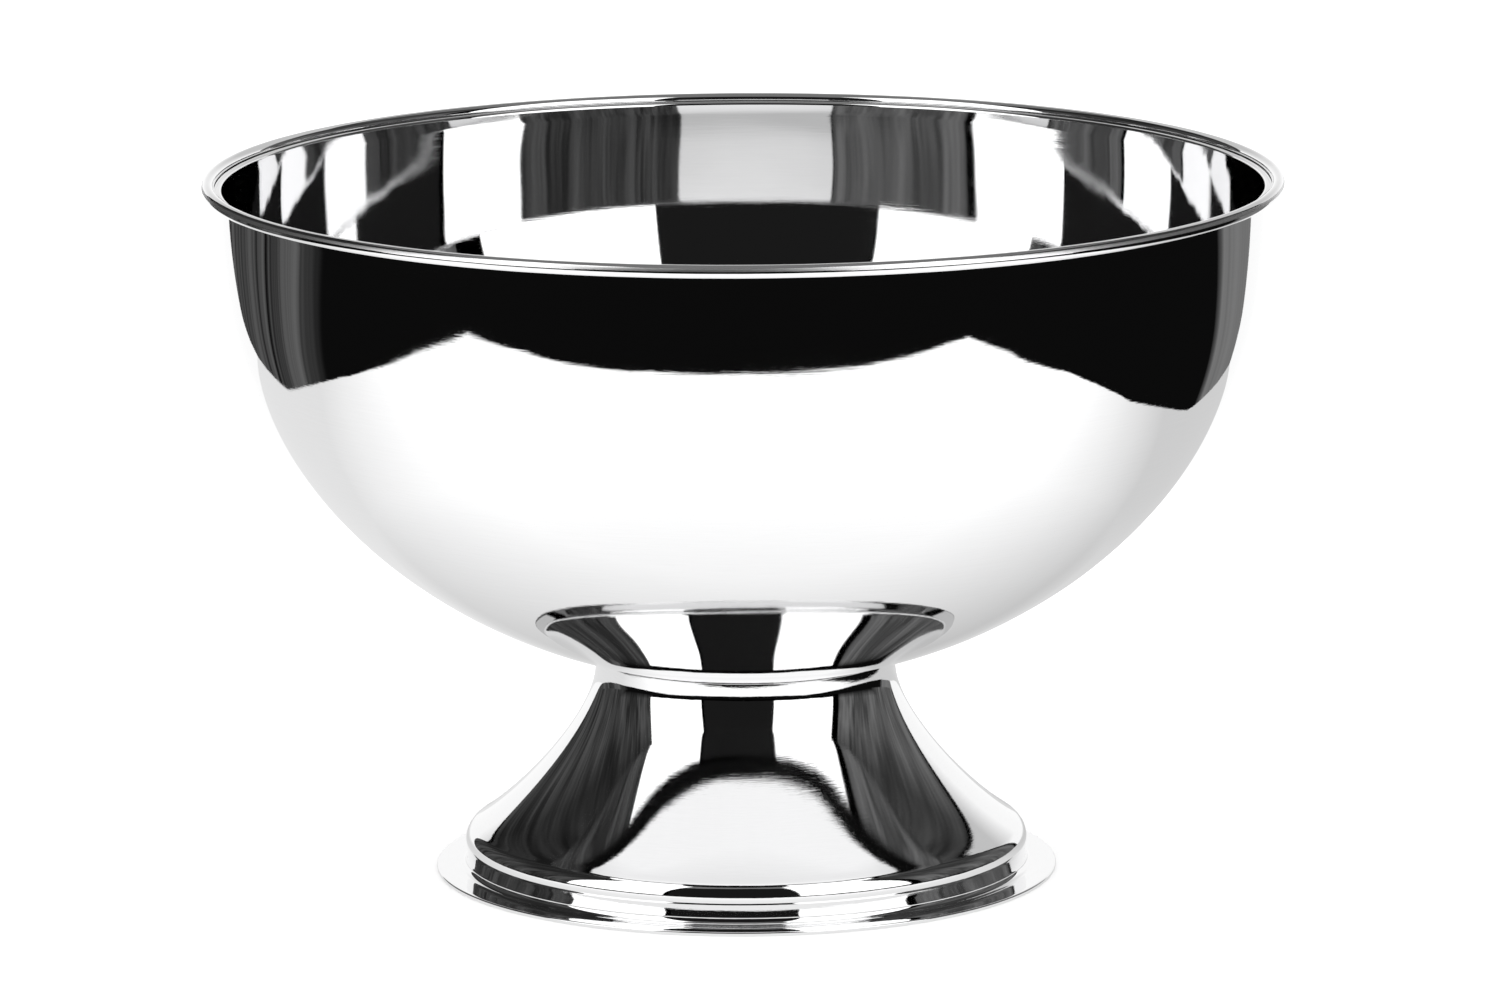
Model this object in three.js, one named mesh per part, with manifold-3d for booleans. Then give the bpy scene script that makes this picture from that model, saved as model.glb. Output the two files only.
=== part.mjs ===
// Footed punch bowl in mirror-polished stainless steel.
// Millimetres, +Z up. The origin is on the bowl's axis, in the plane the foot stands on.
import * as THREE from 'three';
import { mergeVertices } from 'three/addons/utils/BufferGeometryUtils.js';
import Module from 'manifold-3d';

const wasm = await Module();
wasm.setup();

// ---- driving dimensions ----
const TOTAL_HEIGHT = 248.4;
const RIM_RADIUS = 190;
const BASE_RADIUS = 110;

const BOWL_SHEET = 1.0;
const BOWL_RADIUS = 182.5; // half-width of the body's ellipse
const BOWL_DEPTH = 155.8; // its vertical half-axis
const BOWL_AXIS_HEIGHT = 226; // height of its centre
const WALL_START_HEIGHT = 209; // the ellipse hands over to the wall, which is upright at the top
const WALL_RADIUS = 183.7; // outside of the wall at the top

const BEAD_RADIUS = 2.25; // outside radius of the rolled rim
const BEAD_END_DEG = 191; // where the rolled edge stops, just above the ledge
const LEDGE_FALL_DEG = 15; // the ledge falls this much outwards, from the crest to the bead
const CREST_BEND_RADIUS = 0.7; // bend between the wall and the ledge, at mid sheet

const FOOT_SHEET = 1.5;
const NECK_RADIUS = 53.2;
const NECK_END_HEIGHT = 73; // the upright neck ends here and the bell begins
const NECK_CORNER_RADIUS = 0.6; // outside corner between the neck and the seat
const NECK_INNER_CORNER_RADIUS = 0.5; // and the inside one
const NECK_HANDLE = 11.1; // how far the bell keeps the neck's upright direction
const BELL_HANDLE = 21.8; // how far the bell keeps its shallow lower slope
const BELL_END_DEG = 63.5; // slope of the bell where the shoulder roll takes over
const ROLL_RADIUS = 6.5;
const ROLL_CENTRE_RADIUS = 93.1;
const ROLL_CENTRE_HEIGHT = 10.4;
const ROLL_TUCK_DEG = -18; // the roll turns this far under before the base flange
const FLANGE_FILLET = 2.5;

const GAP = 0.3; // clearance between pieces that touch
const STUD_RADIUS = 4;
const STUD_FLANGE_RADIUS = 5;
const STUD_FLANGE_THICKNESS = 1;
const STUD_CHAMFER = 0.8;
const STUD_TIP_HEIGHT = 54.2;
const WEB_HOLE_RADIUS = 5.6;
const BORE_RADIUS = STUD_RADIUS + GAP;
const CLAMP_WASHER_RADIUS = 16;
const CLAMP_WASHER_THICKNESS = 2;
const SPRING_WASHER_RADIUS = 7.4;
const SPRING_WASHER_THICKNESS = 2;
const SPRING_WASHER_SLIT_DEG = 12;
const NUT_ACROSS_FLATS = 13;
const NUT_HEIGHT = 6.5;
const NUT_CHAMFER_DEG = 30;

const BIG_SEGMENTS = 48; // facets round the bowl and the foot
const SMALL_SEGMENTS = 24; // facets round the fasteners

// ---- finishes ----
const mirrorSteel = () => new THREE.MeshStandardMaterial({ color: 0xdfe1e3, roughness: 0.05, metalness: 1 });
const platedSteel = () => new THREE.MeshStandardMaterial({ color: 0xb9bdc2, roughness: 0.35, metalness: 1 });

// ---- profile helpers: points are (radius, height) ----
const radians = THREE.MathUtils.degToRad;
const point = (radius, height) => new THREE.Vector2(radius, height);

// Evenly spaced points on a circular arc, both ends included.
function arc(centreRadius, centreHeight, radius, startDeg, endDeg, steps) {
  const points = [];
  for (let i = 0; i <= steps; i += 1) {
    const angle = radians(startDeg + ((endDeg - startDeg) * i) / steps);
    points.push(point(centreRadius + radius * Math.cos(angle), centreHeight + radius * Math.sin(angle)));
  }
  return points;
}

// The bowl's body is an ellipse of revolution; `inset` moves the whole curve inwards.
function bodyPoint(angle, inset) {
  return point(
    (BOWL_RADIUS - inset) * Math.sin(angle),
    BOWL_AXIS_HEIGHT - (BOWL_DEPTH - inset) * Math.cos(angle));
}

// Height of the bowl's outside surface at a given radius.
function undersideHeight(radius) {
  return BOWL_AXIS_HEIGHT - BOWL_DEPTH * Math.sqrt(1 - (radius / BOWL_RADIUS) ** 2);
}

// Moves each point of an open profile sideways by `distance`, to the left of its direction.
function offset(points, distance) {
  return points.map((here, i) => {
    const before = points[Math.max(i - 1, 0)];
    const after = points[Math.min(i + 1, points.length - 1)];
    const direction = after.clone().sub(before).normalize();
    return point(here.x - direction.y * distance, here.y + direction.x * distance);
  });
}

// A profile turned about the upright axis.
function turned(profile, segments) {
  return new THREE.LatheGeometry(profile, segments).rotateX(Math.PI / 2);
}

function piece(name, geometry, material) {
  const mesh = new THREE.Mesh(geometry, material);
  mesh.name = name;
  return mesh;
}

// ---- solids for cutting ----
function toSolid(geometry) {
  const bare = geometry.clone();
  bare.deleteAttribute('normal');
  bare.deleteAttribute('uv');
  const merged = mergeVertices(bare, 1e-4);
  return new wasm.Manifold(new wasm.Mesh({
    numProp: 3,
    vertProperties: new Float32Array(merged.attributes.position.array),
    triVerts: new Uint32Array(merged.index.array),
  }));
}

function fromSolid(solid) {
  const mesh = solid.getMesh();
  const geometry = new THREE.BufferGeometry();
  geometry.setAttribute('position', new THREE.BufferAttribute(mesh.vertProperties, 3));
  geometry.setIndex(new THREE.BufferAttribute(mesh.triVerts, 1));
  geometry.computeVertexNormals();
  return geometry;
}

// ---- bowl: a drawn shell whose edge turns out over a narrow ledge and rolls up into an open bead ----
function bowl() {
  const bodySteps = 11;
  const wallSteps = 3;
  const half = BOWL_SHEET / 2;
  const fall = radians(LEDGE_FALL_DEG);
  const beadCentreRadius = RIM_RADIUS - BEAD_RADIUS;
  const beadCentreHeight = TOTAL_HEIGHT - BEAD_RADIUS;
  const beadMiddle = BEAD_RADIUS - half;

  // The ledge's middle line runs from the crest's bend to the bead's middle circle, low on its inner side.
  const crestRadius = WALL_RADIUS - half + CREST_BEND_RADIUS;
  const ledgeStartRadius = crestRadius + CREST_BEND_RADIUS * Math.sin(fall);
  const ledgeEndRadius = beadCentreRadius - beadMiddle * Math.sin(fall);
  const ledgeEndHeight = beadCentreHeight - beadMiddle * Math.cos(fall);
  const ledgeStartHeight = ledgeEndHeight + (ledgeEndRadius - ledgeStartRadius) * Math.tan(fall);
  const crestHeight = ledgeStartHeight - CREST_BEND_RADIUS * Math.cos(fall);

  // The wall is a parabola that stands upright where the crest's bend begins.
  const wallStartAngle = Math.acos((BOWL_AXIS_HEIGHT - WALL_START_HEIGHT) / BOWL_DEPTH);
  const body = (inset) => {
    const points = [];
    for (let i = 0; i <= bodySteps; i += 1) {
      points.push(bodyPoint((wallStartAngle * i) / bodySteps, inset));
    }
    const start = points[bodySteps];
    for (let i = 1; i < wallSteps; i += 1) {
      const along = i / wallSteps;
      points.push(point(
        THREE.MathUtils.lerp(start.x, WALL_RADIUS - inset, 1 - (1 - along) ** 2),
        THREE.MathUtils.lerp(start.y, crestHeight, along)));
    }
    return points;
  };
  const crest = (radius, steps) => arc(crestRadius, crestHeight, radius, 180, 90 - LEDGE_FALL_DEG, steps);
  const curl = (radius, steps) => arc(
    beadCentreRadius, beadCentreHeight, radius, -90 - LEDGE_FALL_DEG, BEAD_END_DEG, steps);

  const outerFace = body(0).concat(crest(CREST_BEND_RADIUS - half, 2), curl(BEAD_RADIUS, 12));
  const innerFace = body(BOWL_SHEET).concat(
    crest(CREST_BEND_RADIUS + half, 3), curl(BEAD_RADIUS - BOWL_SHEET, 8));
  return turned(outerFace.concat(innerFace.reverse()), BIG_SEGMENTS);
}

// ---- foot: a spun bell with a dished seat on top and a flat flange at the bottom ----
function foot() {
  const seatSteps = 3;

  // The seat follows the bowl's underside at `depth` below it and is rounded off into the upright neck.
  const seatAndCorner = (depth, neckRadius, cornerRadius) => {
    const cornerCentre = neckRadius - cornerRadius;
    const points = [];
    for (let i = 0; i < seatSteps; i += 1) {
      const radius = THREE.MathUtils.lerp(WEB_HOLE_RADIUS, cornerCentre, i / seatSteps);
      points.push(point(radius, undersideHeight(radius) - depth));
    }
    const cornerHeight = undersideHeight(cornerCentre) - depth - cornerRadius;
    return points.concat(arc(cornerCentre, cornerHeight, cornerRadius, 90, 0, 3));
  };

  const bellEnd = arc(ROLL_CENTRE_RADIUS, ROLL_CENTRE_HEIGHT, ROLL_RADIUS, BELL_END_DEG, BELL_END_DEG, 1)[0];
  const bell = new THREE.CubicBezierCurve(
    point(NECK_RADIUS, NECK_END_HEIGHT),
    point(NECK_RADIUS, NECK_END_HEIGHT - NECK_HANDLE),
    point(
      bellEnd.x - BELL_HANDLE * Math.sin(radians(BELL_END_DEG)),
      bellEnd.y + BELL_HANDLE * Math.cos(radians(BELL_END_DEG))),
    bellEnd,
  ).getPoints(8);
  const roll = arc(
    ROLL_CENTRE_RADIUS, ROLL_CENTRE_HEIGHT, ROLL_RADIUS, BELL_END_DEG, ROLL_TUCK_DEG, 5).slice(1);

  // The fillet turns the tucked roll out into the flange's flat top.
  const tuck = roll[roll.length - 1];
  const filletRadius = tuck.x + FLANGE_FILLET * Math.cos(radians(ROLL_TUCK_DEG));
  const filletHeight = FOOT_SHEET + FLANGE_FILLET;
  const fillet = arc(filletRadius, filletHeight, FLANGE_FILLET, 180 + ROLL_TUCK_DEG, 270, 3);

  const outside = bell.concat(roll, fillet, [point(BASE_RADIUS, FOOT_SHEET)]);
  const inside = offset(outside, -FOOT_SHEET);
  inside[inside.length - 1] = point(BASE_RADIUS, 0);
  const upper = seatAndCorner(GAP, NECK_RADIUS, NECK_CORNER_RADIUS).concat(outside);
  const lower = seatAndCorner(
    GAP + FOOT_SHEET, NECK_RADIUS - FOOT_SHEET, NECK_INNER_CORNER_RADIUS).concat(inside);
  return turned(upper.concat(lower.reverse(), [upper[0].clone()]).reverse(), BIG_SEGMENTS);
}

// ---- fasteners under the bowl, inside the neck of the foot ----
const studTop = undersideHeight(0) - GAP;
const webUnderside = undersideHeight(WEB_HOLE_RADIUS) - GAP - FOOT_SHEET;
const clampTop = webUnderside - GAP;
const springTop = clampTop - CLAMP_WASHER_THICKNESS - GAP;
const nutTop = springTop - SPRING_WASHER_THICKNESS - GAP;

function weldStud() {
  return turned([
    point(0, STUD_TIP_HEIGHT),
    point(STUD_RADIUS - STUD_CHAMFER, STUD_TIP_HEIGHT),
    point(STUD_RADIUS, STUD_TIP_HEIGHT + STUD_CHAMFER),
    point(STUD_RADIUS, studTop - STUD_FLANGE_THICKNESS),
    point(STUD_FLANGE_RADIUS, studTop - STUD_FLANGE_THICKNESS),
    point(STUD_FLANGE_RADIUS, studTop),
    point(0, studTop),
  ], SMALL_SEGMENTS);
}

function flatWasher(outerRadius, top, thickness) {
  return turned([
    point(BORE_RADIUS, top - thickness),
    point(outerRadius, top - thickness),
    point(outerRadius, top),
    point(BORE_RADIUS, top),
    point(BORE_RADIUS, top - thickness),
  ], SMALL_SEGMENTS * 2);
}

// A ring with a narrow slit, as a split lock washer has.
function splitWasher(outerRadius, top, thickness) {
  const start = radians(SPRING_WASHER_SLIT_DEG / 2);
  const end = 2 * Math.PI - start;
  const outline = new THREE.Shape();
  outline.absarc(0, 0, outerRadius, start, end, false);
  outline.absarc(0, 0, BORE_RADIUS, end, start, true);
  const ring = new THREE.ExtrudeGeometry(outline, {
    depth: thickness,
    bevelEnabled: false,
    curveSegments: SMALL_SEGMENTS,
  });
  return ring.translate(0, 0, top - thickness);
}

// A hexagon prism with its corners chamfered at both ends, bored for the stud.
function hexNut(top) {
  const cornerRadius = NUT_ACROSS_FLATS / 2 / Math.cos(Math.PI / 6);
  const bottom = top - NUT_HEIGHT;
  const prism = new THREE.CylinderGeometry(cornerRadius, cornerRadius, NUT_HEIGHT, 6).rotateX(Math.PI / 2);
  prism.translate(0, 0, (top + bottom) / 2);
  const chamferStart = NUT_ACROSS_FLATS / 2 - 0.2;
  const chamferEnd = cornerRadius + 1;
  const chamferRise = (chamferEnd - chamferStart) * Math.tan(radians(NUT_CHAMFER_DEG));
  const cones = turned([
    point(0, bottom),
    point(chamferStart, bottom),
    point(chamferEnd, bottom + chamferRise),
    point(chamferEnd, top - chamferRise),
    point(chamferStart, top),
    point(0, top),
  ], SMALL_SEGMENTS);
  const bore = new THREE.CylinderGeometry(BORE_RADIUS, BORE_RADIUS, NUT_HEIGHT * 2, SMALL_SEGMENTS);
  bore.rotateX(Math.PI / 2);
  bore.translate(0, 0, (top + bottom) / 2);
  return fromSolid(toSolid(prism).intersect(toSolid(cones)).subtract(toSolid(bore)));
}

// ---- assembly ----
const clampWasher = flatWasher(CLAMP_WASHER_RADIUS, clampTop, CLAMP_WASHER_THICKNESS);
const springWasher = splitWasher(SPRING_WASHER_RADIUS, springTop, SPRING_WASHER_THICKNESS);

const group = new THREE.Group();
group.add(piece('bowl', bowl(), mirrorSteel()));
group.add(piece('foot', foot(), mirrorSteel()));
group.add(piece('weld_stud', weldStud(), platedSteel()));
group.add(piece('clamp_washer', clampWasher, platedSteel()));
group.add(piece('spring_washer', springWasher, platedSteel()));
group.add(piece('hex_nut', hexNut(nutTop), platedSteel()));

export default group;
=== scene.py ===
import math

import bpy
import numpy as np
from mathutils import Matrix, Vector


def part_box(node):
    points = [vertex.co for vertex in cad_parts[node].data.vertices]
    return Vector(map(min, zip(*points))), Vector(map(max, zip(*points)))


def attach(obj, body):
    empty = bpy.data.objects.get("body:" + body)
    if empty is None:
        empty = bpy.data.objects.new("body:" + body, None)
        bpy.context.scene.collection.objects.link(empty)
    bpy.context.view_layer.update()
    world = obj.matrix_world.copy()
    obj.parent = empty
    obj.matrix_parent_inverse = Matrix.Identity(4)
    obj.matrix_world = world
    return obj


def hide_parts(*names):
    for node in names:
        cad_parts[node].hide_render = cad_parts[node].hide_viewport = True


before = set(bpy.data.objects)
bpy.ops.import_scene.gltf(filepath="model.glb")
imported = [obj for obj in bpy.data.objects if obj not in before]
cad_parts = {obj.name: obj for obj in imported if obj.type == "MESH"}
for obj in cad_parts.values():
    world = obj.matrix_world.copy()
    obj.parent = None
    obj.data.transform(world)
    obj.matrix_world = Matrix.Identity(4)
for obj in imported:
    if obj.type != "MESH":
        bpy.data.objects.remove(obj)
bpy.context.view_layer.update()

# camera: far back with a long lens, looking a little down, turned a hair about its own axis
cameraSetup = {
    "side": 0.0019,
    "distance": 3.4117,
    "height": 0.8035,
    "pitchDeg": 11.137,
    "rollDeg": 0.292,
    "lens": 236.2,
}


# The camera's place is a shift, then the pitch about x, then the roll about its own axis.
def addCamera():
    data = bpy.data.cameras.new("camera")
    data.lens = cameraSetup["lens"]
    data.sensor_width = 36.0
    data.clip_start = 0.1
    data.clip_end = 60.0
    camera = bpy.data.objects.new("camera", data)
    bpy.context.scene.collection.objects.link(camera)
    place = Matrix.Translation((cameraSetup["side"], -cameraSetup["distance"], cameraSetup["height"]))
    pitch = Matrix.Rotation(math.radians(90 - cameraSetup["pitchDeg"]), 4, "X")
    roll = Matrix.Rotation(-math.radians(cameraSetup["rollDeg"]), 4, "Z")
    camera.matrix_world = place @ pitch @ roll
    bpy.context.scene.camera = camera


addCamera()
print("camera set")


# Circle: radius = centre + r cos a, height = centre + r sin a, for evenly spaced angles a.
def arcPoints(centreRadius, centreHeight, radius, startDeg, endDeg, count):
    a = np.radians(np.linspace(startDeg, endDeg, count))
    return np.stack([centreRadius + radius * np.cos(a), centreHeight + radius * np.sin(a)], axis=1)


# The same curve cut into equal steps of its own length.
def evenPoints(points, count):
    gap = np.hypot(*np.diff(points, axis=0).T)
    along = np.concatenate([[0.0], np.cumsum(gap)])
    keep = np.concatenate([[True], gap > 1e-9])
    at = np.linspace(0.0, along[-1], count)
    return np.stack([np.interp(at, along[keep], points[keep, k]) for k in (0, 1)], axis=1)


# Closed rectangle (radius, height) whose four corners are quarter circles of radius edge.
def roundedRing(inner, outer, bottom, top, edge, steps=5):
    corners = [
        (outer - edge, bottom + edge, -90),
        (outer - edge, top - edge, 0),
        (inner + edge, top - edge, 90),
        (inner + edge, bottom + edge, 180),
    ]
    return np.concatenate([arcPoints(r, z, edge, a, a + 90, steps) for r, z, a in corners])


# Hand-polished unevenness: long sine waves of the angle and of the way along the profile, plus short
# ripples round the axis that drift slowly with the way.
def sheetWave(radius, height, angle, wave):
    way = radius + height
    swell = np.sin(3 * angle + way * wave["slow"] + 0.7)
    swell += 0.6 * np.sin(7 * angle - way * wave["quick"] + 2.1)
    swell += 0.35 * np.sin(11 * angle + way * wave["slow"] * 2.3 + 4.0)
    ripple = np.sin(47 * angle + 1.3 * np.sin(5 * angle) + way * 30)
    ripple += 0.8 * np.sin(73 * angle + 1.7 * np.sin(8 * angle + 1.0) - way * 22)
    return wave["swell"] * swell + wave["ripple"] * ripple


# Puts points and faces into a smooth shaded mesh at the origin.
def putMesh(name, points, quads, triangles=()):
    faces = [tuple(q) for q in quads.tolist()] + [tuple(t) for t in triangles]
    mesh = bpy.data.meshes.new(name)
    mesh.from_pydata(points.tolist(), [], faces)
    mesh.polygons.foreach_set("use_smooth", np.ones(len(faces), dtype=bool))
    mesh.update()
    piece = bpy.data.objects.new(name, mesh)
    bpy.context.scene.collection.objects.link(piece)
    return piece


# Quads between neighbours of a rows x columns grid of points.
def gridQuads(rows, columns, wrapRows, wrapColumns=True):
    i = np.arange(rows if wrapRows else rows - 1)
    j = np.arange(columns if wrapColumns else columns - 1)
    i, j = np.meshgrid(i, j, indexing="ij")
    nextRow = (i + 1) % rows
    nextColumn = (j + 1) % columns
    corners = [(i, j), (i, nextColumn), (nextRow, nextColumn), (nextRow, j)]
    return np.stack([row * columns + column for row, column in corners], axis=-1).reshape(-1, 4)


# Point (i, j) = (r_i cos a_j, r_i sin a_j, z_i), moved along the profile's normal by the wave, which moves
# both faces of the sheet the same way. With poles the profile starts and ends on the axis, else it closes
# on itself.
def turned(name, profile, segments, wave=None, poles=False):
    rows = profile[1:-1] if poles else profile
    angle = np.arange(segments) * 2 * math.pi / segments
    radius = np.repeat(rows[:, :1], segments, axis=1)
    height = np.repeat(rows[:, 1:], segments, axis=1)
    if wave:
        ahead = np.gradient(rows, axis=0)
        ahead /= np.hypot(ahead[:, 0], ahead[:, 1])[:, None]
        shift = sheetWave(radius, height, angle[None, :], wave)
        side = np.where(np.arange(len(rows)) < wave["turnRow"], 1.0, -1.0)[:, None]  # outer, then inner
        radius = radius + shift * ahead[:, 1:] * side
        height = height - shift * ahead[:, :1] * side
    points = np.stack([radius * np.cos(angle), radius * np.sin(angle), height], axis=-1).reshape(-1, 3)
    quads = gridQuads(len(rows), segments, wrapRows=not poles)
    triangles = []
    if poles:
        first, last = len(points), len(points) + 1
        points = np.concatenate([points, [[0, 0, profile[0, 1]], [0, 0, profile[-1, 1]]]])
        ring = np.arange(segments)
        onward = (ring + 1) % segments
        top = (len(rows) - 1) * segments
        triangles = [(first, int(b), int(a)) for a, b in zip(ring, onward)]
        triangles += [(last, int(top + a), int(top + b)) for a, b in zip(ring, onward)]
    return putMesh(name, points, quads, triangles)


# A shader socket that sums can be written with.
class Wire:
    def __init__(self, recipe, socket):
        self.recipe = recipe
        self.socket = socket

    def maths(self, operation, *others):
        return self.recipe.add("ShaderNodeMath", {"operation": operation}, [self, *others])

    def __add__(self, other):
        return self.maths("ADD", other)

    def __sub__(self, other):
        return self.maths("SUBTRACT", other)

    def __mul__(self, other):
        return self.maths("MULTIPLY", other)

    def __truediv__(self, other):
        return self.maths("DIVIDE", other)

    def __rsub__(self, other):
        return self.recipe.add("ShaderNodeMath", {"operation": "SUBTRACT"}, [other, self])

    __radd__ = __add__
    __rmul__ = __mul__


# One material's node tree.
class Recipe:
    def __init__(self, name):
        self.material = bpy.data.materials.new(name)
        self.material.use_nodes = True
        self.tree = self.material.node_tree
        self.tree.nodes.clear()

    def add(self, kind, settings=None, inputs=(), output=0):
        node = self.tree.nodes.new(kind)
        for key, value in (settings or {}).items():
            if key == "stops":
                self.setStops(node.color_ramp, value)
            else:
                setattr(node, key, value)
        pairs = inputs.items() if isinstance(inputs, dict) else enumerate(inputs)
        for key, value in pairs:
            if isinstance(value, Wire):
                self.tree.links.new(value.socket, node.inputs[key])
            else:
                node.inputs[key].default_value = value
        return Wire(self, node.outputs[output]) if node.outputs else node

    @staticmethod
    def setStops(ramp, stops):
        while len(ramp.elements) > 1:
            ramp.elements.remove(ramp.elements[-1])
        ramp.elements[0].position, level = stops[0]
        ramp.elements[0].color = (level, level, level, 1)
        for position, level in stops[1:]:
            ramp.elements.new(position).color = (level, level, level, 1)

    def objectPoint(self):
        return self.add("ShaderNodeTexCoord", output="Object")

    def parts(self, vector):
        node = self.add("ShaderNodeSeparateXYZ", inputs=[vector]).socket.node
        return [Wire(self, out) for out in node.outputs]

    def noise(self, vector, scale, detail=2.0, roughness=0.5):
        inputs = {"Vector": vector, "Scale": scale, "Detail": detail, "Roughness": roughness}
        return self.add("ShaderNodeTexNoise", inputs=inputs)

    def ramp(self, factor, stops):
        return self.add("ShaderNodeValToRGB", {"stops": stops}, [factor])

    def finish(self, shader):
        self.add("ShaderNodeOutputMaterial", inputs=[shader])
        return self.material


# Mirror steel with fine lines round the axis: noise stretched round it by reading the unit direction.
# scuff is a band on the rolled rim, between two heights, that handling has dulled.
def polishedSteel(name, look, scuff=None):
    recipe = Recipe(name)
    x, y, z = recipe.parts(recipe.objectPoint())
    radius = (x * x + y * y).maths("SQRT")
    safe = radius.maths("MAXIMUM", 0.002)
    way = radius + z * look["wayAlongZ"]

    def roundTheAxis(arc, pitch):
        return recipe.add("ShaderNodeCombineXYZ", inputs=[x / safe * arc, y / safe * arc, way * (1 / pitch)])

    coarse = recipe.noise(roundTheAxis(look["coarseArc"], look["coarsePitch"]), 1.0, 2.0)
    fine = recipe.noise(roundTheAxis(look["fineArc"], look["finePitch"]), 1.0, 3.0, 0.7)
    cloud = recipe.noise(recipe.objectPoint(), look["cloudScale"], 3.0)
    worn = recipe.ramp(cloud, [(0.45, 0.0), (0.7, 1.0)])
    height = coarse * look["coarseHeight"] + fine * (look["fineHeight"] * (1 + worn * look["wornLines"]))
    bump = recipe.add("ShaderNodeBump", inputs={"Strength": 1.0, "Distance": 1e-6, "Height": height})
    tone = look["tone"] + (fine - 0.5) * look["fineTone"] + (cloud - 0.5) * look["cloudTone"]
    rough = look["rough"] + worn * look["wornRough"] + (coarse - 0.5) * look["coarseRough"]
    if scuff:
        stops = [(0.0, 0.0), (0.15, 1.0), (0.85, 1.0), (1.0, 0.0)]
        above = recipe.ramp((z - scuff["low"]) / scuff["height"], stops)
        band = above * radius.maths("GREATER_THAN", scuff["radius"])
        rough = rough + band * (scuff["rough"] + (fine - 0.5) * scuff["swing"])
    colour = recipe.add("ShaderNodeCombineColor", inputs=[tone, tone, tone * look["coolness"]])
    shader = recipe.add("ShaderNodeBsdfPrincipled", inputs={
        "Base Color": colour,
        "Metallic": 1.0,
        "Roughness": rough.maths("MAXIMUM", 0.01),
        "Normal": bump,
    })
    return recipe.finish(shader)


# Plain fastener steel: even grey with fine rolled grain and slightly darker clouds.
def satinSteel(name, look):
    recipe = Recipe(name)
    point = recipe.objectPoint()
    grain = recipe.noise(point, look["grainScale"], 4.0)
    cloud = recipe.noise(point, look["cloudScale"], 2.0)
    inputs = {"Strength": look["grainStrength"], "Distance": look["grainDepth"], "Height": grain}
    bump = recipe.add("ShaderNodeBump", inputs=inputs)
    tone = look["tone"] + (grain - 0.5) * look["grainTone"] + (cloud - 0.5) * look["cloudTone"]
    colour = recipe.add("ShaderNodeCombineColor", inputs=[tone, tone, tone * look["coolness"]])
    shader = recipe.add("ShaderNodeBsdfPrincipled", inputs={
        "Base Color": colour,
        "Metallic": 1.0,
        "Roughness": look["rough"] + (grain - 0.5) * look["grainRough"],
        "Normal": bump,
    })
    return recipe.finish(shader)


bowlShape = {
    "sheet": 0.001,
    "depth": 0.1558,
    "radius": 0.1825,
    "wallStart": 0.209,
    "wallRadius": 0.1837,
    "beadRadius": 0.00225,
    "beadEndDeg": 191,
    "ledgeFallDeg": 15,
    "crestBend": 0.0007,
    "axisHeight": 0.226,
    "segments": 320,
    "bodyRows": 76,
    "wave": {"slow": 85.0, "quick": 130.0, "swell": 2.0e-5, "ripple": 8.0e-6},
}
bowlLook = {
    "wayAlongZ": 1.0,
    "coarseArc": 5.0,
    "coarsePitch": 0.0022,
    "coarseHeight": 3.0,
    "fineArc": 9.0,
    "finePitch": 0.0006,
    "fineHeight": 2.0,
    "cloudScale": 14.0,
    "tone": 0.88,
    "fineTone": 0.05,
    "cloudTone": 0.03,
    "coolness": 1.004,
    "rough": 0.02,
    "wornRough": 0.02,
    "coarseRough": 0.02,
    "wornLines": 1.5,
}
bowlLow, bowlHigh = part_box("bowl")


# Ellipse r = a sin t, z = centre - b cos t; then a parabola that ends upright; then a small bend over the
# crest, a ledge that falls outwards, and the bead's circle from its foot round to its inner side.
def bowlProfile():
    s = bowlShape
    half = s["sheet"] / 2
    fall = math.radians(s["ledgeFallDeg"])
    beadCentre = (bowlHigh[0] - s["beadRadius"], bowlHigh[2] - s["beadRadius"])
    beadMiddle = s["beadRadius"] - half
    crestRadius = s["wallRadius"] - half + s["crestBend"]
    ledgeRun = beadCentre[0] - beadMiddle * math.sin(fall) - crestRadius - s["crestBend"] * math.sin(fall)
    ledgeEnd = beadCentre[1] - beadMiddle * math.cos(fall)
    crestHeight = ledgeEnd + ledgeRun * math.tan(fall) - s["crestBend"] * math.cos(fall)
    turn = np.linspace(0, math.acos((s["axisHeight"] - s["wallStart"]) / s["depth"]), 600)
    u = np.linspace(0, 1, 80)[1:]

    def face(inset, crestBend, curlRadius, curlRows):
        body = np.stack([
            (s["radius"] - inset) * np.sin(turn),
            s["axisHeight"] - (s["depth"] - inset) * np.cos(turn),
        ], axis=1)
        r, z = body[-1]
        wall = np.stack([
            r + (s["wallRadius"] - inset - r) * (1 - (1 - u) ** 2),
            z + (crestHeight - z) * u,
        ], axis=1)
        crest = arcPoints(crestRadius, crestHeight, crestBend, 180, 90 - s["ledgeFallDeg"], 10)[1:]
        curl = arcPoints(*beadCentre, curlRadius, -90 - s["ledgeFallDeg"], s["beadEndDeg"], curlRows)
        side = evenPoints(np.concatenate([body, wall]), s["bodyRows"])
        return np.concatenate([side, crest, curl])

    outer = face(0.0, s["crestBend"] - half, s["beadRadius"], 41)
    inner = face(s["sheet"], s["crestBend"] + half, s["beadRadius"] - s["sheet"], 23)
    return np.concatenate([outer, inner[::-1]]), len(outer)


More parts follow.
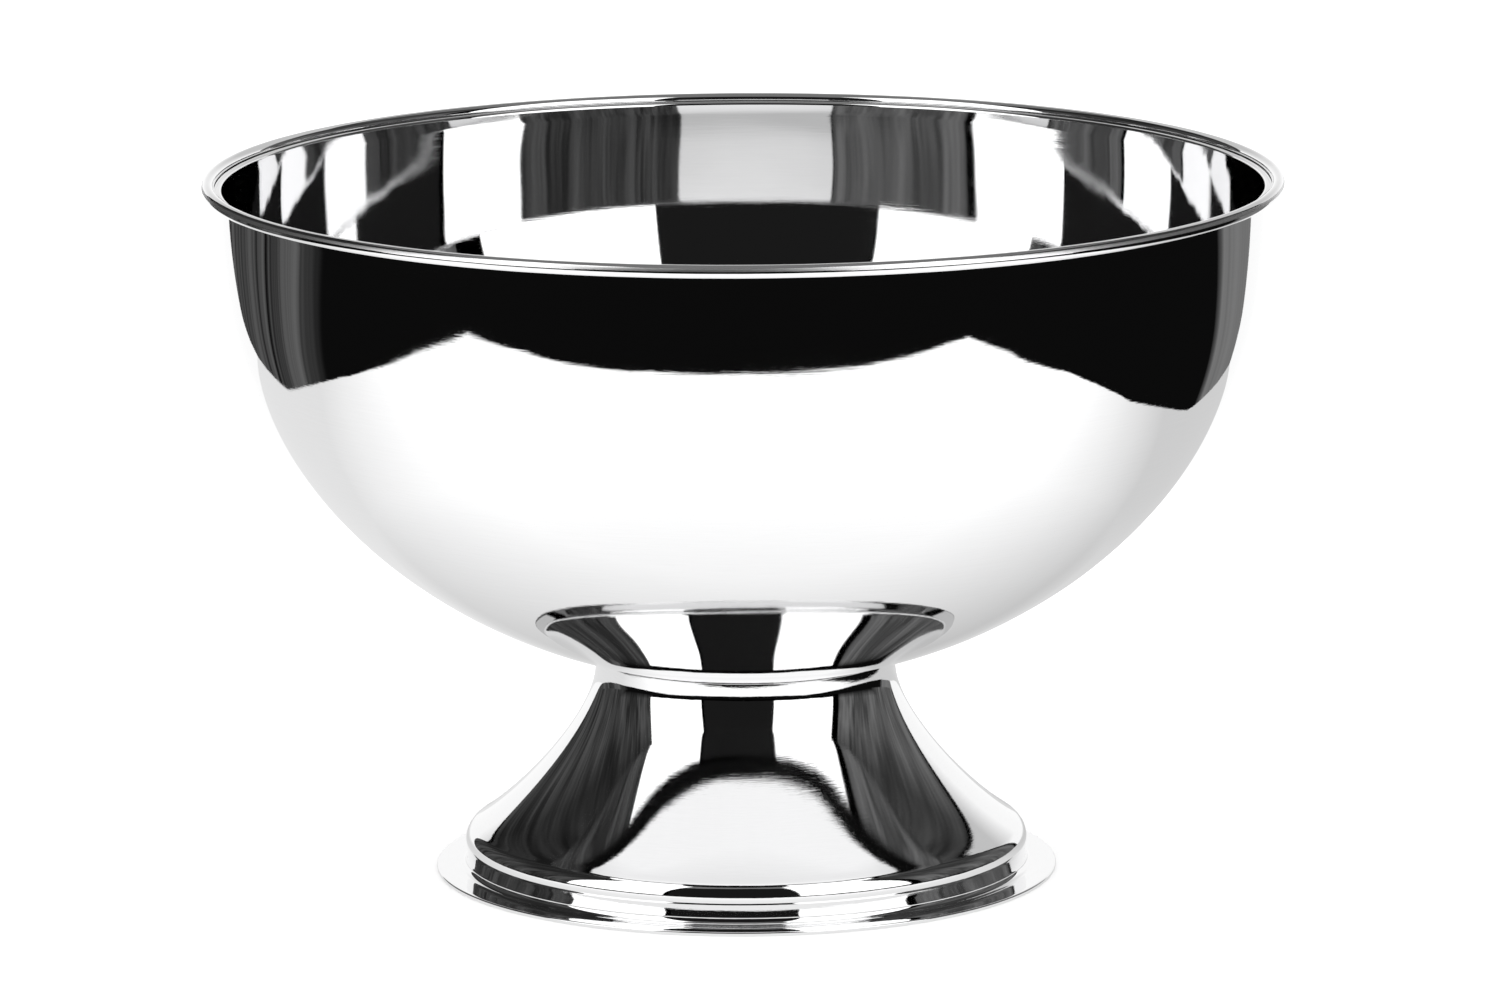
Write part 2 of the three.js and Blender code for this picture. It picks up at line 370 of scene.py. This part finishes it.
# The bowl turned from its profile, with the dulled band on the outer side of the bead.
def makeBowl():
    profile, turnRow = bowlProfile()
    wave = dict(bowlShape["wave"], turnRow=turnRow - 1)
    piece = turned("polishedBowl", profile, bowlShape["segments"], wave, poles=True)
    beadHeight = bowlHigh[2] - bowlShape["beadRadius"]
    scuff = {
        "low": beadHeight + 0.0001,
        "height": 0.0013,
        "radius": bowlHigh[0] - bowlShape["beadRadius"] + 0.001,
        "rough": 0.3,
        "swing": 0.1,
    }
    piece.data.materials.append(polishedSteel("mirrorBowlSteel", bowlLook, scuff))
    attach(piece, "root")
    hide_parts("bowl")


makeBowl()
print("bowl made")


footShape = {
    "sheet": 0.0015,
    "seatGap": 0.0001,
    "holeRadius": 0.0056,
    "neckRadius": 0.0532,
    "neckCorner": 0.0003,
    "neckInnerCorner": 0.0005,
    "cornerStartDeg": 82,
    "neckEnd": 0.073,
    "neckHandle": 0.0175,
    "bellHandle": 0.0189,
    "bellEndDeg": 57.4,
    "rollRadius": 0.0065,
    "rollCentre": (0.0931, 0.0104),
    "rollTuckDeg": -18,
    "fillet": 0.0025,
    "edge": 0.0005,
    "segments": 288,
}
footLook = dict(
    bowlLook, wayAlongZ=-1.0, coarsePitch=0.0016, coarseHeight=3.5, fineHeight=3.0, tone=0.86, rough=0.03)
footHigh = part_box("foot")[1]


# Height of the bowl's outer ellipse at a radius.
def undersideHeight(radius):
    s = bowlShape
    return s["axisHeight"] - s["depth"] * np.sqrt(1 - (radius / s["radius"]) ** 2)


# Seat that follows the bowl at a depth below it, then an arc from the seat's slope into the upright neck.
def seatAndCorner(depth, neckRadius, cornerRadius):
    centre = neckRadius - cornerRadius
    radius = np.linspace(footShape["holeRadius"], centre, 24)[:-1]
    seat = np.stack([radius, undersideHeight(radius) - depth], axis=1)
    cornerHeight = undersideHeight(centre) - depth - cornerRadius
    corner = arcPoints(centre, cornerHeight, cornerRadius, footShape["cornerStartDeg"], 0, 8)
    return np.concatenate([seat, corner])


# Neck, Bezier bell, roll, fillet and flat flange; the inside is the same curve one sheet further in.
def footProfile():
    s = footShape
    lean = math.radians(s["bellEndDeg"])
    end = arcPoints(*s["rollCentre"], s["rollRadius"], s["bellEndDeg"], s["bellEndDeg"], 1)[0]
    start = np.array([s["neckRadius"], s["neckEnd"]])
    handleA = start - np.array([0, s["neckHandle"]])
    handleB = end + s["bellHandle"] * np.array([-math.sin(lean), math.cos(lean)])
    t = np.linspace(0, 1, 300)[:, None]
    back = 1 - t
    bell = back ** 3 * start + 3 * t * back ** 2 * handleA + 3 * t ** 2 * back * handleB + t ** 3 * end
    roll = arcPoints(*s["rollCentre"], s["rollRadius"], s["bellEndDeg"], s["rollTuckDeg"], 22)[1:]
    filletRadius = roll[-1, 0] + s["fillet"] * math.cos(math.radians(s["rollTuckDeg"]))
    fillet = arcPoints(
        filletRadius, s["sheet"] + s["fillet"], s["fillet"], 180 + s["rollTuckDeg"], 270, 14)[1:]
    flange = evenPoints(np.array([fillet[-1], [footHigh[0] - s["edge"], s["sheet"]]]), 7)[1:]
    outside = np.concatenate([evenPoints(bell, 56), roll, fillet, flange])
    ahead = np.gradient(outside, axis=0)
    ahead /= np.hypot(ahead[:, 0], ahead[:, 1])[:, None]
    inside = outside + s["sheet"] * np.stack([ahead[:, 1], -ahead[:, 0]], axis=1)
    inside[:, 1] = np.maximum(inside[:, 1], 0)
    rim = arcPoints(footHigh[0] - s["edge"], s["sheet"] - s["edge"], s["edge"], 90, 0, 5)[1:]
    rimUnder = arcPoints(footHigh[0] - s["edge"], s["edge"], s["edge"], 0, -90, 5)
    upper = seatAndCorner(s["seatGap"], s["neckRadius"], s["neckCorner"])
    lower = seatAndCorner(s["seatGap"] + s["sheet"], s["neckRadius"] - s["sheet"], s["neckInnerCorner"])
    return np.concatenate([upper, outside, rim, rimUnder, inside[::-1], lower[::-1]])[::-1]


# The foot turned from its closed profile.
def makeFoot():
    piece = turned("spunFoot", footProfile(), footShape["segments"])
    piece.data.materials.append(polishedSteel("mirrorFootSteel", footLook))
    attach(piece, "root")
    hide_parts("foot")


makeFoot()
print("foot made")


fastenerShape = {
    "studRadius": 0.004,
    "flangeRadius": 0.005,
    "flangeThickness": 0.001,
    "threadPitch": 0.00125,
    "threadDepth": 0.0007,
    "threadRun": 0.0105,
    "threadFade": 0.001,
    "threadSharpness": 0.97,
    "tipChamfer": 0.0008,
    "boreRadius": 0.0043,
    "washerEdge": 0.0005,
    "washerSegments": 96,
    "acrossFlats": 0.013,
    "nutFaceShare": 0.97,
    "nutChamferDeg": 30,
    "springSlitDeg": 12,
    "springRise": 0.0002,
    "edge": 0.0002,
}
fastenerLook = {
    "tone": 0.62,
    "grainTone": 0.12,
    "cloudTone": 0.1,
    "coolness": 1.02,
    "rough": 0.3,
    "grainRough": 0.15,
    "grainScale": 900.0,
    "grainDepth": 2e-5,
    "grainStrength": 0.4,
    "cloudScale": 60.0,
}
fastenerSteel = satinSteel("satinFastenerSteel", fastenerLook)


# Finish and ties that all the fasteners share.
def dressFastener(piece, node):
    piece.data.materials.append(fastenerSteel)
    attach(piece, "root")
    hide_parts(node)


# Radius = core + half the thread's depth times a rounded saw of (height / pitch - angle / full turn),
# fading out at the tip and at the end of the thread.
def makeStud():
    s = fastenerShape
    low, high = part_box("weld_stud")
    rows = 150
    segments = 48
    angle = np.arange(segments)[None, :] * 2 * math.pi / segments
    shankTop = high[2] - s["flangeThickness"]
    height = np.linspace(low[2], shankTop, rows)[:, None]
    phase = height / s["threadPitch"] - angle / (2 * math.pi)
    tooth = 0.5 + np.arcsin(np.sin(2 * math.pi * phase) * s["threadSharpness"]) / math.pi
    fade = np.clip((low[2] + s["threadRun"] - height) / s["threadFade"], 0, 1)
    chamfer = s["tipChamfer"] * np.clip(1 - (height - low[2]) / s["tipChamfer"], 0, 1)
    radius = s["studRadius"] - s["threadDepth"] * (1 - tooth) * fade - chamfer
    flange = np.array([
        [s["flangeRadius"] - s["edge"], shankTop],
        [s["flangeRadius"], shankTop + s["edge"]],
        [s["flangeRadius"], high[2] - s["edge"]],
        [s["flangeRadius"] - s["edge"], high[2]],
    ])
    flat = np.ones((1, segments))
    radius = np.concatenate([radius, flange[:, :1] * flat])
    height = np.concatenate([height * flat, flange[:, 1:] * flat])
    points = np.stack([radius * np.cos(angle), radius * np.sin(angle), height], axis=-1).reshape(-1, 3)
    ends = np.array([[0, 0, low[2]], [0, 0, high[2]]])
    ring = np.arange(segments)
    onward = (ring + 1) % segments
    top = (len(radius) - 1) * segments
    triangles = [(len(points), int(b), int(a)) for a, b in zip(ring, onward)]
    triangles += [(len(points) + 1, int(top + a), int(top + b)) for a, b in zip(ring, onward)]
    quads = gridQuads(len(radius), segments, wrapRows=False)
    dressFastener(putMesh("threadedStud", np.concatenate([points, ends]), quads, triangles), "weld_stud")


# A rounded ring turned once round.
def makeSpreaderWasher():
    s = fastenerShape
    low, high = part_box("clamp_washer")
    ring = roundedRing(s["boreRadius"], high[0], low[2], high[2], s["washerEdge"])
    dressFastener(turned("spreaderWasher", ring, s["washerSegments"]), "clamp_washer")


# A rounded square section carried round the axis, from one side of the slit to the other, rising evenly.
def makeSpringWasher():
    s = fastenerShape
    low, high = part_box("spring_washer")
    columns = 97
    section = roundedRing(s["boreRadius"], high[0], low[2] + s["springRise"], high[2], s["edge"], 4)
    half = math.radians(s["springSlitDeg"] / 2)
    angle = np.linspace(half, 2 * math.pi - half, columns)[None, :]
    drop = s["springRise"] * np.linspace(0, 1, columns)[None, :]
    radius = section[:, :1]
    points = np.stack([radius * np.cos(angle), radius * np.sin(angle), section[:, 1:] - drop], axis=-1)
    quads = gridQuads(len(section), columns, wrapRows=True, wrapColumns=False)
    first = [tuple(int(i) * columns for i in range(len(section)))]
    last = [tuple(int(i) * columns + columns - 1 for i in range(len(section))[::-1])]
    piece = putMesh("splitLockWasher", points.reshape(-1, 3), quads, first + last)
    dressFastener(piece, "spring_washer")


# Radius = the smaller of the hexagon, half the width over cos of the angle from the nearest flat's middle,
# and the chamfer's cone.
def makeNut():
    s = fastenerShape
    low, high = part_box("hex_nut")
    segments = 96
    flat = s["acrossFlats"] / 2
    angle = np.arange(segments)[None, :] * 2 * math.pi / segments
    fromFlat = (angle + math.pi / 6) % (math.pi / 3) - math.pi / 6
    hexagon = flat / np.cos(fromFlat)
    height = np.linspace(low[2], high[2], 40)[:, None]
    toEnd = np.minimum(height - low[2], high[2] - height)
    cone = flat * s["nutFaceShare"] + toEnd / math.tan(math.radians(s["nutChamferDeg"]))
    outer = np.minimum(hexagon, cone)
    bore = np.full((2, segments), s["boreRadius"])
    entry = np.full((1, segments), s["boreRadius"] + s["edge"])
    boreHeight = np.array([[high[2] - s["edge"]], [low[2] + s["edge"]]])
    radius = np.concatenate([entry, outer, entry, bore])
    height = np.concatenate([[[low[2]]], height, [[high[2]]], boreHeight]) * np.ones((1, segments))
    points = np.stack([radius * np.cos(angle), radius * np.sin(angle), height], axis=-1).reshape(-1, 3)
    piece = putMesh("hexagonNut", points, gridQuads(len(radius), segments, wrapRows=True))
    dressFastener(piece, "hex_nut")


makeStud()
makeSpreaderWasher()
makeSpringWasher()
makeNut()
print("fasteners made")


studio = {
    "worldStrength": 2.1,
    "floorTone": 0.8,
    "floorSize": 30.0,
    "tableStrength": 1.2,
    "tableBackLoss": 0.36,
    "tableRightLoss": 0.16,
    "tableNearLoss": 0.25,
    "tableLeft": -0.5,
    "tableRight": 0.45,
    "tableBack": 0.5,
    "tableEdge": [
        (-0.47, 0.25), (-0.56, -0.01), (-0.66, -0.24), (-0.69, -0.45), (-0.5, -0.54), (-0.2, -0.622),
        (0, -0.637), (0.19, -0.627), (0.35, -0.6), (0.56, -0.555), (0.57, -0.41), (0.53, -0.2),
        (0.455, -0.02), (0.41, 0.2),
    ],
    "sweepStrength": 1.05,
    "sweepTopLoss": 0.45,
    "sweepBend": 0.6,
    "sweepTop": 1.4,
    "sweepLeft": -0.62,
    "sweepRight": 0.92,
    "panelStrength": 1.6,
    "leftPanel": ((-1.256, -0.337), (-0.817, -1.258)),
    "rightPanel": ((0.573, -1.494), (1.205, -0.488)),
    "panelHeights": (0.1, 2.7),
    "roomStrength": 0.004,
    "roomTopShare": 0.4,
    "roomFrom": -0.5,
    "leftRoomTo": 3.2,
    "rightRoomTo": 2.0,
    "leftRoomLook": {"base": 0.05, "swing": 0.07, "litFrom": 0.45, "streaksPerMetre": 4.0},
    "rightRoomLook": {"base": 0.11, "swing": 0.12, "litFrom": 0.7, "streaksPerMetre": 3.0},
    "roomHeights": (-1.4, 2.6),
    "sideWallDistance": 1.7,
    "frontStrength": 0.011,
    "frontWall": ((-1.4, -2.3), (0.9, -2.3)),
    "frontHeights": (0.1, 3.0),
    "ceilingStrength": 0.19,
    "ceilingHeight": 2.9,
    "ceilingHalf": 2.0,
    "groundLeft": 0.12,
    "groundRight": 0.2,
    "groundStreaks": 4.0,
    "groundHeight": -0.02,
    "groundHalf": 3.0,
}


# A flat-sided card for the studio; only the steel sees it, unless its visibility is changed afterwards.
def studioCard(name, corners, faces, material):
    mesh = bpy.data.meshes.new(name)
    mesh.from_pydata(corners, [], faces)
    mesh.materials.append(material)
    card = bpy.data.objects.new(name, mesh)
    bpy.context.scene.collection.objects.link(card)
    card.visible_camera = False
    card.visible_diffuse = False
    card.visible_transmission = False
    card.visible_shadow = False
    return card


# A standing card over the line from start to end on the floor.
def uprightCard(name, line, heights, material):
    start, end = line
    low, high = heights
    corners = [(*start, low), (*end, low), (*end, high), (*start, high)]
    return studioCard(name, corners, [(0, 1, 2, 3)], material)


# A level square card over the origin.
def levelCard(name, half, height, material):
    corners = [(-half, -half, height), (half, -half, height), (half, half, height), (-half, half, height)]
    return studioCard(name, corners, [(0, 1, 2, 3)], material)


# An even white glow.
def evenGlow(name, strength):
    recipe = Recipe(name)
    return recipe.finish(recipe.add("ShaderNodeEmission", inputs={"Strength": strength}))


# Ends a card's recipe: the grey level glows as a colour.
def finishGlow(recipe, level):
    return recipe.finish(recipe.add("ShaderNodeEmission", inputs={"Color": level, "Strength": 1.0}))


# The table's paper: bright in front, duller behind, on the right, and in the bowl's shade.
def paperGlow():
    recipe = Recipe("paperGlow")
    x, y = recipe.parts(recipe.objectPoint())[:2]
    behind = recipe.ramp(y + 0.5, [(0.36, 0.0), (0.6, 1.0)])
    right = recipe.ramp(x + 0.5, [(0.4, 0.0), (0.75, 1.0)])
    near = recipe.ramp((x * x + y * y).maths("SQRT"), [(0.08, 1.0), (0.26, 0.0)])
    loss = behind * (studio["tableBackLoss"] + right * studio["tableRightLoss"])
    strength = studio["tableStrength"] - loss - near * studio["tableNearLoss"]
    return finishGlow(recipe, strength)


# The sweep behind: brighter low down than where it stands up.
def sweepGlow():
    recipe = Recipe("sweepGlow")
    high = recipe.ramp(recipe.parts(recipe.objectPoint())[2], [(0.3, 0.0), (0.65, 1.0)])
    strength = studio["sweepStrength"] - high * studio["sweepTopLoss"]
    return finishGlow(recipe, strength)


# Streaks from noise along one way, drawn out along the other: broad bands with thin lines between them.
def streaks(recipe, across, along, scale):
    broadAt = recipe.add("ShaderNodeCombineXYZ", inputs=[across * scale, along, 0.0])
    thinAt = recipe.add("ShaderNodeCombineXYZ", inputs=[across * scale * 6, along * 2, 4.0])
    mixed = recipe.noise(broadAt, 1.0, 2.0) * 0.6 + recipe.noise(thinAt, 1.0, 3.0) * 0.4
    return recipe.ramp(mixed, [(0.4, 0.0), (0.6, 1.0)])


# A dim side of the room: upright streaks, duller high up, black low down in front of litFrom.
def roomWall(name, look):
    recipe = Recipe(name)
    y, z = recipe.parts(recipe.objectPoint())[1:]
    streak = streaks(recipe, y, z * 0.6, look["streaksPerMetre"])
    upper = recipe.ramp(z + 0.5, [(0.5, 0.0), (0.7, 1.0)])
    litFrom = look["litFrom"] * 0.25 + 0.5
    back = recipe.ramp(y * 0.25 + 0.5, [(litFrom - 0.03, 0.0), (litFrom + 0.03, 1.0)])
    tall = recipe.ramp(z * 0.4, [(0.36, 1.0), (0.56, studio["roomTopShare"])])
    lit = upper.maths("MAXIMUM", back) * tall
    strength = studio["roomStrength"] + lit * (look["base"] + (streak - 0.5) * look["swing"])
    return finishGlow(recipe, strength)


# The ground round the table, by the turn y / |x| towards the back: black in front, then grey with streaks
# that run away from the bowl, lighter on the right.
def groundGlow():
    recipe = Recipe("groundGlow")
    x, y = recipe.parts(recipe.objectPoint())[:2]
    turn = y / x.maths("ABSOLUTE").maths("MAXIMUM", 0.01)
    streak = streaks(recipe, turn, 0.0, studio["groundStreaks"])
    right = x.maths("GREATER_THAN", 0.0)
    leftLit = recipe.ramp(turn, [(0.15, 0.0), (0.35, 1.0)]) * (1 - right)
    rightLit = recipe.ramp(turn, [(0.6, 0.0), (0.7, 1.0)]) * right
    strength = studio["roomStrength"] + leftLit * (streak * studio["groundLeft"])
    strength = strength + rightLit * (studio["groundRight"] * (0.75 + streak * 0.3))
    return finishGlow(recipe, strength)


# Paper table, and behind it the sweep: height along a circular bend, then straight up, while its sides
# spread evenly from the table's to the sweep's own.
def makeTable():
    left, right, back = studio["tableLeft"], studio["tableRight"], studio["tableBack"]
    corners = [(x, y, 0) for x, y in studio["tableEdge"] + [(right, back), (left, back)]]
    studioCard("paperTable", corners, [tuple(range(len(corners)))], paperGlow())
    bend = studio["sweepBend"]
    sweep = np.concatenate([arcPoints(back, bend, bend, -90, 0, 13), [[back + bend, studio["sweepTop"]]]])
    corners = []
    for y, z in sweep.tolist():
        spread = (y - back) / bend
        corners.append((left + (studio["sweepLeft"] - left) * spread, y, z))
        corners.append((right + (studio["sweepRight"] - right) * spread, y, z))
    faces = [(2 * k, 2 * k + 1, 2 * k + 3, 2 * k + 2) for k in range(len(sweep) - 1)]
    studioCard("paperSweep", corners, faces, sweepGlow())


# The plain pale floor under everything, which the camera sees and the steel does not.
def makeFloor():
    recipe = Recipe("whiteFloor")
    tone = studio["floorTone"]
    speck = recipe.noise(recipe.objectPoint(), 40.0, 2.0)
    shade = tone + (speck - 0.5) * 0.01
    colour = recipe.add("ShaderNodeCombineColor", inputs=[shade, shade, shade])
    material = recipe.finish(recipe.add("ShaderNodeBsdfDiffuse", inputs={"Color": colour}))
    floor = levelCard("floor", studio["floorSize"] / 2, 0, material)
    floor.visible_camera = True
    floor.visible_diffuse = True
    floor.visible_shadow = True
    floor.visible_glossy = False


# Soft light on the floor from the world, and the cards that the steel mirrors.
def makeStudio():
    world = bpy.data.worlds.new("studioWorld")
    world.use_nodes = True
    background = world.node_tree.nodes["Background"]
    background.inputs["Color"].default_value = (1, 1, 1, 1)
    background.inputs["Strength"].default_value = studio["worldStrength"]
    bpy.context.scene.world = world
    world.cycles_visibility.glossy = False  # the steel sees only the cards
    makeFloor()
    makeTable()

    panelGlow = evenGlow("panelGlow", studio["panelStrength"])
    frontGlow = evenGlow("frontGlow", studio["frontStrength"])
    leftGlow = roomWall("leftRoomGlow", studio["leftRoomLook"])
    rightGlow = roomWall("rightRoomGlow", studio["rightRoomLook"])
    side = studio["sideWallDistance"]
    front = studio["roomFrom"]
    leftWall = ((-side, front), (-side, studio["leftRoomTo"]))
    rightWall = ((side, front), (side, studio["rightRoomTo"]))
    uprightCard("leftPanel", studio["leftPanel"], studio["panelHeights"], panelGlow)
    uprightCard("rightPanel", studio["rightPanel"], studio["panelHeights"], panelGlow)
    uprightCard("leftRoom", leftWall, studio["roomHeights"], leftGlow)
    uprightCard("rightRoom", rightWall, studio["roomHeights"], rightGlow)
    uprightCard("frontRoom", studio["frontWall"], studio["frontHeights"], frontGlow)
    levelCard("darkGround", studio["groundHalf"], studio["groundHeight"], groundGlow())
    ceilingGlow = evenGlow("ceilingGlow", studio["ceilingStrength"])
    levelCard("ceiling", studio["ceilingHalf"], studio["ceilingHeight"], ceilingGlow)


makeStudio()
bpy.context.scene.view_settings.view_transform = "Standard"
print("studio set")
